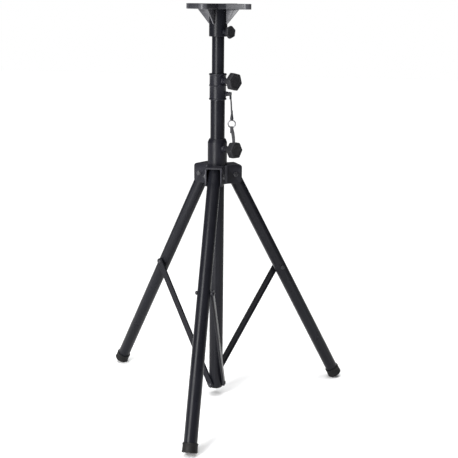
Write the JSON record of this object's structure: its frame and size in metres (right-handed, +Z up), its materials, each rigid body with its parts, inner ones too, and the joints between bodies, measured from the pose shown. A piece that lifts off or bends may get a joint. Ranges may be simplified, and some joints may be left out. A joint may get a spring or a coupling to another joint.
{
  "type": "loudspeaker tripod stand",
  "caption": "Telescopic tripod stand with a sliding leg hub, side braces, clamping knobs, tethered locking pin and a cross-shaped top plate for a loudspeaker.",
  "frame": {"origin": "on the floor, under the middle of the outline of the three opened feet; the pole's axis is 102.9 mm behind it, towards +Y", "axes": "+Z up the pole; the first leg points along -Y and the other two stand 120 degrees either side of it; +X is to the right seen from the first leg"},
  "size_m": [0.7592, 0.6636, 1.186],
  "materials": {
    "coated_tube": "black powder coat, semi-gloss, on steel tube",
    "coated_casting": "black powder coat, satin, on pressed and cast metal",
    "collar_plastic": "moulded black plastic, fine texture",
    "knob_plastic": "moulded black plastic, fine spark texture",
    "nylon": "black glass-filled nylon",
    "foot_rubber": "matte black rubber",
    "zinc_hardware": "bright zinc plating",
    "black_hardware": "black-finished steel fasteners",
    "ring_chrome": "nickel-plated wire",
    "cord_braid": "braided black cord",
    "strap_webbing": "woven black webbing"
  },
  "bodies": {
    "pole": {"main_tube": "coated_tube", "bottom_plug": "nylon", "upper_collar": "collar_plastic", "guide_bush": "nylon", "upper_knob_boss": "collar_plastic", "pin_boss": "collar_plastic", "brace_foot_screw_1": "black_hardware", "brace_foot_screw_2": "black_hardware", "brace_foot_screw_3": "black_hardware", "lanyard_cord": "cord_braid", "lanyard_ring": "ring_chrome", "lanyard_strap": "strap_webbing"},
    "hub": {"hub_sleeve": "coated_casting", "sleeve_bush": "nylon", "lower_knob_boss": "coated_casting", "leg_channel_1": "coated_casting", "hub_web_1": "coated_casting", "hub_bolt_1": "black_hardware", "hub_nut_1": "black_hardware", "leg_channel_2": "coated_casting", "hub_web_2": "coated_casting", "hub_bolt_2": "black_hardware", "hub_nut_2": "black_hardware", "leg_channel_3": "coated_casting", "hub_web_3": "coated_casting", "hub_bolt_3": "black_hardware", "hub_nut_3": "black_hardware"},
    "mast": {"inner_tube": "coated_tube", "slider_ring": "nylon"},
    "head": {"top_plate": "coated_casting", "plate_socket": "coated_tube", "socket_bush": "nylon", "top_knob_boss": "coated_tube", "plate_rib_1": "coated_casting", "plate_rib_2": "coated_casting", "plate_rib_3": "coated_casting", "plate_rib_4": "coated_casting"},
    "upper_knob": {"upper_knob_grip": "knob_plastic", "upper_knob_stud": "zinc_hardware"},
    "lower_knob": {"lower_knob_grip": "knob_plastic", "lower_knob_stud": "zinc_hardware"},
    "top_knob": {"top_knob_grip": "knob_plastic", "top_knob_stud": "zinc_hardware"},
    "safety_pin": {"safety_pin": "black_hardware"},
    "leg_1": {"leg_tube_1": "coated_tube", "leg_foot_1": "foot_rubber", "leg_bolt_1": "black_hardware"},
    "brace_1": {"brace_1": "coated_tube", "brace_rivet_1": "black_hardware"},
    "leg_2": {"leg_tube_2": "coated_tube", "leg_foot_2": "foot_rubber", "leg_bolt_2": "black_hardware"},
    "brace_2": {"brace_2": "coated_tube", "brace_rivet_2": "black_hardware"},
    "leg_3": {"leg_tube_3": "coated_tube", "leg_foot_3": "foot_rubber", "leg_bolt_3": "black_hardware"},
    "brace_3": {"brace_3": "coated_tube", "brace_rivet_3": "black_hardware"}
  },
  "joints": [
    {"name": "hub_slide", "type": "slide", "parent": "pole", "child": "hub", "axis": [0, 0, 1], "range_m": [0, 0.09277], "deforming": ["lanyard_strap"]},
    {"name": "leg_1_fold", "type": "hinge", "parent": "hub", "child": "leg_1", "pos_m": [0, 0.0544, 0.6985], "axis": [1, 0, 0], "range_deg": [0, 26.1]},
    {"name": "brace_1_fold", "type": "hinge", "parent": "pole", "child": "brace_1", "pos_m": [0, 0.1029, 0.038], "axis": [1, 0, 0], "range_deg": [-22.04, 0]},
    {"name": "leg_2_fold", "type": "hinge", "parent": "hub", "child": "leg_2", "pos_m": [0.042, 0.12715, 0.6985], "axis": [-0.5, 0.866, 0], "range_deg": [0, 26.1]},
    {"name": "brace_2_fold", "type": "hinge", "parent": "pole", "child": "brace_2", "pos_m": [0, 0.1029, 0.038], "axis": [-0.5, 0.866, 0], "range_deg": [-22.04, 0]},
    {"name": "leg_3_fold", "type": "hinge", "parent": "hub", "child": "leg_3", "pos_m": [-0.042, 0.12715, 0.6985], "axis": [-0.5, -0.866, 0], "range_deg": [0, 26.1]},
    {"name": "brace_3_fold", "type": "hinge", "parent": "pole", "child": "brace_3", "pos_m": [0, 0.1029, 0.038], "axis": [-0.5, -0.866, 0], "range_deg": [-22.04, 0]},
    {"name": "mast_slide", "type": "slide", "parent": "pole", "child": "mast", "axis": [0, 0, 1], "range_m": [-0.088, 0.65]},
    {"name": "head_swivel", "type": "hinge", "parent": "mast", "child": "head", "pos_m": [0, 0.1029, 1.13], "axis": [0, 0, 1], "continuous": true},
    {"name": "upper_knob_turn", "type": "hinge", "parent": "pole", "child": "upper_knob", "pos_m": [0.04891, 0.06814, 0.9714], "axis": [0.8151, -0.5793, 0], "continuous": true},
    {"name": "lower_knob_turn", "type": "hinge", "parent": "hub", "child": "lower_knob", "pos_m": [0.04891, 0.06814, 0.7762], "axis": [0.8151, -0.5793, 0], "continuous": true},
    {"name": "top_knob_turn", "type": "hinge", "parent": "head", "child": "top_knob", "pos_m": [0.03668, 0.07683, 1.108], "axis": [0.8151, -0.5793, 0], "continuous": true},
    {"name": "pin_pull", "type": "slide", "parent": "pole", "child": "safety_pin", "axis": [0.9962, -0.0872, 0], "range_m": [0, 0.03]}
  ],
  "couplings": [
    {"joint": "leg_1_fold", "follows": "hub_slide", "rad_per_m": 4.9063},
    {"joint": "brace_1_fold", "follows": "hub_slide", "rad_per_m": -4.1422},
    {"joint": "leg_2_fold", "follows": "hub_slide", "rad_per_m": 4.9063},
    {"joint": "brace_2_fold", "follows": "hub_slide", "rad_per_m": -4.1422},
    {"joint": "leg_3_fold", "follows": "hub_slide", "rad_per_m": 4.9063},
    {"joint": "brace_3_fold", "follows": "hub_slide", "rad_per_m": -4.1422}
  ]
}
